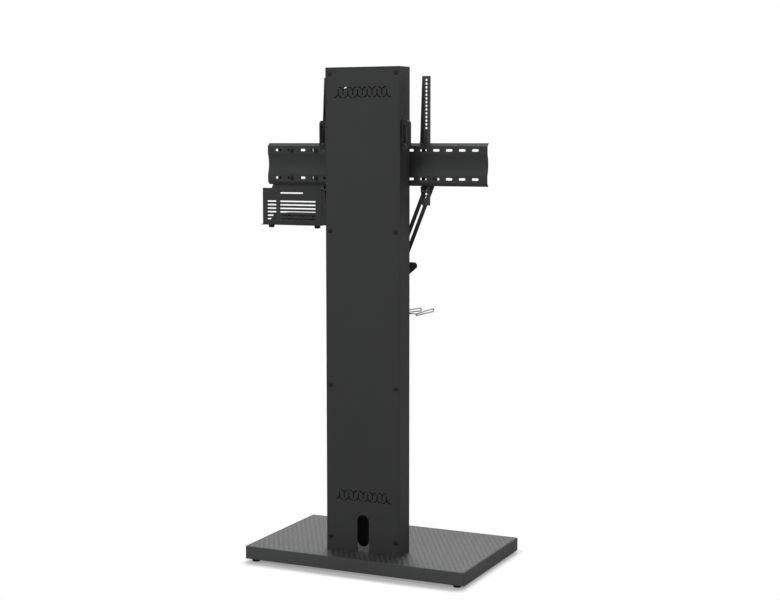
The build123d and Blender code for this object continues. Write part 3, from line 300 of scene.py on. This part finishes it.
def loop_plastic(node):
    """Moulded black plastic, with painted shade within the loop's slot and paler at its
    edges.
    """
    slot_middle = 13.0 * MM
    half_width = 6.3 * MM
    half_height = 26.3 * MM
    low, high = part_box(node)
    cap_low, cap_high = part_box("column_cap")
    middle = (low + high) / 2
    if middle[0] > (cap_low[0] + cap_high[0]) / 2:
        slot_x = low[0] + slot_middle
    else:
        slot_x = high[0] - slot_middle
    tree = Finish("black_plastic_" + node)
    spot = tree.add("ShaderNodeSeparateXYZ", {0: tree.place})
    aside = tree.calc("ABSOLUTE", tree.calc("SUBTRACT", spot.outputs[0], slot_x))
    upward = tree.calc("ABSOLUTE", tree.calc("SUBTRACT", spot.outputs[2], middle[2]))
    # Painted shade: this mask darkens the loop's faces within the slot to near black.
    slot_painted_shade = tree.calc(
        "MULTIPLY",
        tree.calc("LESS_THAN", aside, half_width),
        tree.calc("LESS_THAN", upward, half_height),
    )
    grain = tree.noise(1700.0, 2.0, 0.6)
    shell = tree.blend(tree.mask(grain), grey(0.028), grey(0.042))
    outside = tree.blend(tree.edges(0.6 * MM), shell, grey(0.07))
    tree.set(
        Base_Color=tree.blend(slot_painted_shade, outside, grey(0.004)),
        Roughness=tree.spread(tree.noise(40.0), 0.42, 0.56),
        Specular_IOR_Level=0.12,
    )
    tree.relief(grain, strength=0.35, distance=0.08 * MM, edge_radius=0.4 * MM)
    return tree.material


def bright_wire():
    """Drawn and plated wire: near smooth metal with faint lengthwise draw marks."""
    tree = Finish("bright_wire")
    draw = tree.noise(60.0, 3.0, 0.6, squeeze=(14.0, 1.0, 14.0))
    cloud = tree.mask(tree.noise(70.0))
    tree.set(
        Base_Color=tree.blend(cloud, grey(0.3), grey(0.46, -0.01)),
        Metallic=1.0,
        Roughness=tree.spread(draw, 0.2, 0.36),
    )
    tree.relief(draw, strength=0.12, distance=0.05 * MM)
    return tree.material


# One finish for each material slot of the record, and for pieces with painted light or
# shade: painted shade in the loops' slots, lighter copies of the charcoal coat on the base
# and the arms

SLOT_FINISHES = {
    "charcoal_powder_coat": powder_coat("charcoal_powder_coat", shade=0.062, shine=0.1),
    "woven_mat": woven_mat(),
    "black_rubber": rubber(),
    "zinc_plate": zinc("zinc_plate", shade=0.2, rough=0.38),
    "zinc_screws": zinc("zinc_screws", shade=0.5, rough=0.3),
    "black_screws": black_oxide(),
    "glide_plastic": glide_plastic(),
    "bright_wire": bright_wire(),
}
# Painted light: a lighter copy of the charcoal coat that makes up for the shade on the arms.
ARM_COAT_PAINTED_LIGHT = powder_coat("arm_powder_coat_painted_light", shade=0.085, shine=0.12)
FINISHES_WITH_PAINTED_LIGHT = {
    "cable_loop_left": loop_plastic("cable_loop_left"),
    "cable_loop_right": loop_plastic("cable_loop_right"),
    # Painted light: a lighter copy of the charcoal coat, so that the base's shaded faces
    # read brighter.
    "base_shell": powder_coat("base_powder_coat_painted_light", shade=0.105, shine=0.06),
    "screen_arm_left": ARM_COAT_PAINTED_LIGHT,
    "screen_arm_right": ARM_COAT_PAINTED_LIGHT,
}
SLOTS = {part["node"]: part["material_slot"] for part in frame["record"]["subparts"]}
for name, node in nodes.items():
    node.data.materials.clear()
    node.data.materials.append(FINISHES_WITH_PAINTED_LIGHT.get(name) or SLOT_FINISHES[SLOTS[name]])


# Camera, at the place and with the lens that the photograph was taken from

EYE = Vector((-1.86705, 3.9443, 1.1859))
LOOK = Vector((0.41893, -0.90232, -0.10149)).normalized()
SENSOR_WIDTH = 36.0
LENS = 71.59
CLIP_END = 60.0

camera_data = bpy.data.cameras.new("camera")
camera_data.sensor_fit = "HORIZONTAL"
camera_data.sensor_width = SENSOR_WIDTH
camera_data.lens = LENS
camera_data.clip_end = CLIP_END
camera = bpy.data.objects.new("camera", camera_data)
bpy.context.scene.collection.objects.link(camera)
side = LOOK.cross(Vector((0, 0, 1))).normalized()
turn = Matrix((side, side.cross(LOOK), -LOOK)).transposed()
camera.matrix_world = Matrix.Translation(EYE) @ turn.to_4x4()
bpy.context.scene.camera = camera


# Floor, world and lamps

FLOOR_REACH = 14.0
FLOOR_DROP = 0.0004           # keeps the floor clear of the feet
FLOOR_COLOUR = (0.62, 0.62, 0.62, 1)
# The grey band that the fade leaves round the base is painted shadow over the real shadow;
# the trim shifts that band.
SHADOW_TRIM = (0.028, 0.035)  # off the base's low and high X before the fade is measured
FADE_START = 0.015
FADE_END = 0.05
WHITE_BELOW = 0.3             # share of white under the base
WORLD_LIGHT = 0.27

# Soft boxes: name, place, aim, size in metres and power in watts
LAMPS = [
    ("top_box", (0.3, -0.95, 2.9), (0, 0, 0.0), 1.5, 54.0),
    ("rear_fill", (0.55, 2.7, 3.0), (0, 0, 1.25), 1.3, 34.0),
]


def white_share_and_painted_shadow(tree):
    """Share of plain white: small under the base, full a few centimetres away from it; the
    pale grey band this leaves round the base is partly real shadow and partly painted
    shadow.
    """
    low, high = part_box("base_shell")
    low = low + Vector((SHADOW_TRIM[0], 0, 0))
    high = high - Vector((SHADOW_TRIM[1], 0, 0))
    middle = ((low[0] + high[0]) / 2, (low[1] + high[1]) / 2, 0)
    half = ((high[0] - low[0]) / 2, (high[1] - low[1]) / 2, 0)
    spot = tree.nodes.new("ShaderNodeTexCoord").outputs["Object"]
    from_middle = tree.vector("ABSOLUTE", tree.vector("SUBTRACT", spot, middle))
    past_edge = tree.vector("MAXIMUM", tree.vector("SUBTRACT", from_middle, half), (0, 0, 0))
    away = tree.vector("LENGTH", past_edge, output="Value")
    return tree.spread(away, WHITE_BELOW, 1.0, FADE_START, FADE_END, smooth=True)


def make_floor():
    """Large pale floor whose colour gives way to plain white away from the base, leaving a
    band of painted shadow round the base over its real shadow.
    """
    mesh = bpy.data.meshes.new("floor")
    signs = ((-1, -1), (1, -1), (1, 1), (-1, 1))
    corners = [(x * FLOOR_REACH, y * FLOOR_REACH, 0) for x, y in signs]
    mesh.from_pydata(corners, [], [(0, 1, 2, 3)])
    floor = bpy.data.objects.new("floor", mesh)
    bpy.context.scene.collection.objects.link(floor)
    floor.location.z = -FLOOR_DROP
    material = bpy.data.materials.new("floor")
    tree = Tree(material)
    lit = tree.add("ShaderNodeBsdfDiffuse", {"Color": FLOOR_COLOUR})
    white = tree.add("ShaderNodeEmission", {"Strength": 1.0})
    share = tree.calc("MULTIPLY", tree.seen("Is Camera Ray"), white_share_and_painted_shadow(tree))
    tree.finish_with(share, lit, white)
    mesh.materials.append(material)


def make_world():
    """Soft even light, and plain white where the background is seen."""
    world = bpy.data.worlds.new("studio")
    bpy.context.scene.world = world
    tree = Tree(world, "ShaderNodeOutputWorld")
    lit = tree.add("ShaderNodeBackground", {"Color": WHITE, "Strength": WORLD_LIGHT})
    white = tree.add("ShaderNodeBackground", {"Color": WHITE, "Strength": 1.0})
    share = tree.seen("Is Camera Ray", "Is Glossy Ray", "Is Transmission Ray")
    tree.finish_with(share, lit, white)


def make_lamp(name, place, aim, size, power):
    """Square soft box aimed at a point."""
    data = bpy.data.lights.new(name, "AREA")
    data.shape = "SQUARE"
    data.size = size
    data.energy = power
    lamp = bpy.data.objects.new(name, data)
    bpy.context.scene.collection.objects.link(lamp)
    lamp.location = place
    way = Vector(aim) - Vector(place)
    lamp.rotation_euler = way.to_track_quat("-Z", "Y").to_euler()


make_floor()
make_world()
for lamp_settings in LAMPS:
    make_lamp(*lamp_settings)

bpy.context.scene.view_settings.view_transform = "Standard"
